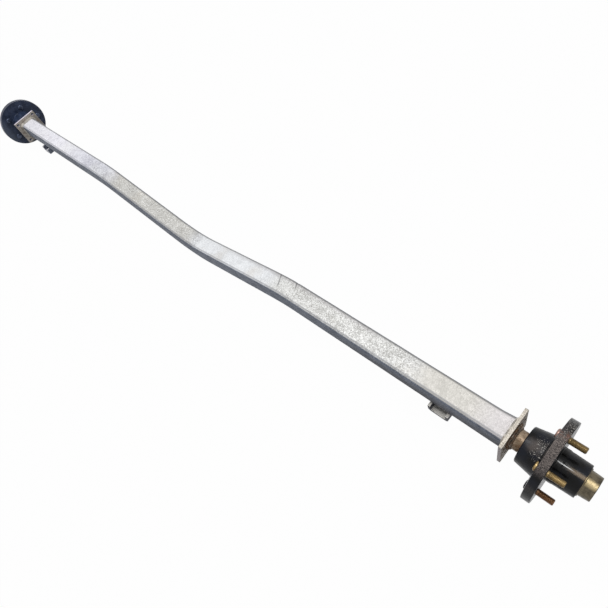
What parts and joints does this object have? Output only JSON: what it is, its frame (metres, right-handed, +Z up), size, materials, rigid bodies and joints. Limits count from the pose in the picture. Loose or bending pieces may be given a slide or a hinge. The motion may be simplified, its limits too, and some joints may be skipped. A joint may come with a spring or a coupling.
{
  "type": "trailer axle",
  "caption": "Cranked square-tube trailer axle with a flanged wheel hub on tapered roller bearings at each end and spring pads beneath.",
  "frame": {"origin": "midway between the two spring pads, in the plane of the faces that rest on the springs", "axes": "+X along the axle to the right-hand hub, +Y along the vehicle, +Z up; the beam's middle dips towards -Z"},
  "size_m": [2.2394, 0.16, 0.1822],
  "materials": {
    "zinc": "hot-dip galvanised, mottled",
    "plate_steel": "weathered zinc with rust bloom",
    "weld_metal": "rippled weld, dull",
    "stub_steel": "bare turned steel, rusty",
    "hub_paint": "near-black gloss over rough casting",
    "stud_plating": "yellow zinc plating, tarnished",
    "cap_steel": "dull zinc",
    "bearing_steel": "ground",
    "cage_steel": "pressed sheet",
    "seal_rubber": "matt"
  },
  "bodies": {
    "beam": {"beam_tube": "zinc", "right_flange_plate": "plate_steel", "right_plate_weld": "weld_metal", "right_stub_weld": "weld_metal", "right_stub_axle": "stub_steel", "right_spring_pad": "zinc", "right_inner_cone": "bearing_steel", "right_outer_cone": "bearing_steel", "right_spindle_washer": "bearing_steel", "right_castle_nut": "bearing_steel", "right_split_pin": "bearing_steel", "left_flange_plate": "plate_steel", "left_plate_weld": "weld_metal", "left_stub_weld": "weld_metal", "left_stub_axle": "stub_steel", "left_spring_pad": "zinc", "left_inner_cone": "bearing_steel", "left_outer_cone": "bearing_steel", "left_spindle_washer": "bearing_steel", "left_castle_nut": "bearing_steel", "left_split_pin": "bearing_steel"},
    "right_wheel_hub": {"right_hub": "hub_paint", "right_wheel_studs": "stud_plating", "right_grease_cap": "cap_steel", "right_grease_seal": "seal_rubber", "right_inner_cup": "bearing_steel", "right_outer_cup": "bearing_steel"},
    "right_inner_roller_set": {"right_inner_rollers": "bearing_steel", "right_inner_cage": "cage_steel"},
    "right_outer_roller_set": {"right_outer_rollers": "bearing_steel", "right_outer_cage": "cage_steel"},
    "left_wheel_hub": {"left_hub": "hub_paint", "left_wheel_studs": "stud_plating", "left_grease_cap": "cap_steel", "left_grease_seal": "seal_rubber", "left_inner_cup": "bearing_steel", "left_outer_cup": "bearing_steel"},
    "left_inner_roller_set": {"left_inner_rollers": "bearing_steel", "left_inner_cage": "cage_steel"},
    "left_outer_roller_set": {"left_outer_rollers": "bearing_steel", "left_outer_cage": "cage_steel"}
  },
  "joints": [
    {"name": "right_hub_spin", "type": "hinge", "parent": "beam", "child": "right_wheel_hub", "pos_m": [1.043, 0, 0.04639], "axis": [1, 0, -0.0087], "continuous": true},
    {"name": "right_inner_roller_spin", "type": "hinge", "parent": "beam", "child": "right_inner_roller_set", "pos_m": [1.014, 0, 0.04664], "axis": [1, 0, -0.0087], "continuous": true},
    {"name": "right_outer_roller_spin", "type": "hinge", "parent": "beam", "child": "right_outer_roller_set", "pos_m": [1.079, 0, 0.04607], "axis": [1, 0, -0.0087], "continuous": true},
    {"name": "left_hub_spin", "type": "hinge", "parent": "beam", "child": "left_wheel_hub", "pos_m": [-1.043, 0, 0.04639], "axis": [1, 0, 0.0087], "continuous": true},
    {"name": "left_inner_roller_spin", "type": "hinge", "parent": "beam", "child": "left_inner_roller_set", "pos_m": [-1.014, 0, 0.04664], "axis": [1, 0, 0.0087], "continuous": true},
    {"name": "left_outer_roller_spin", "type": "hinge", "parent": "beam", "child": "left_outer_roller_set", "pos_m": [-1.079, 0, 0.04607], "axis": [1, 0, 0.0087], "continuous": true}
  ],
  "couplings": [
    {"joint": "right_inner_roller_spin", "follows": "right_hub_spin", "ratio": 0.56455},
    {"joint": "right_outer_roller_spin", "follows": "right_hub_spin", "ratio": 0.57606},
    {"joint": "left_inner_roller_spin", "follows": "left_hub_spin", "ratio": 0.56455},
    {"joint": "left_outer_roller_spin", "follows": "left_hub_spin", "ratio": 0.57606}
  ]
}
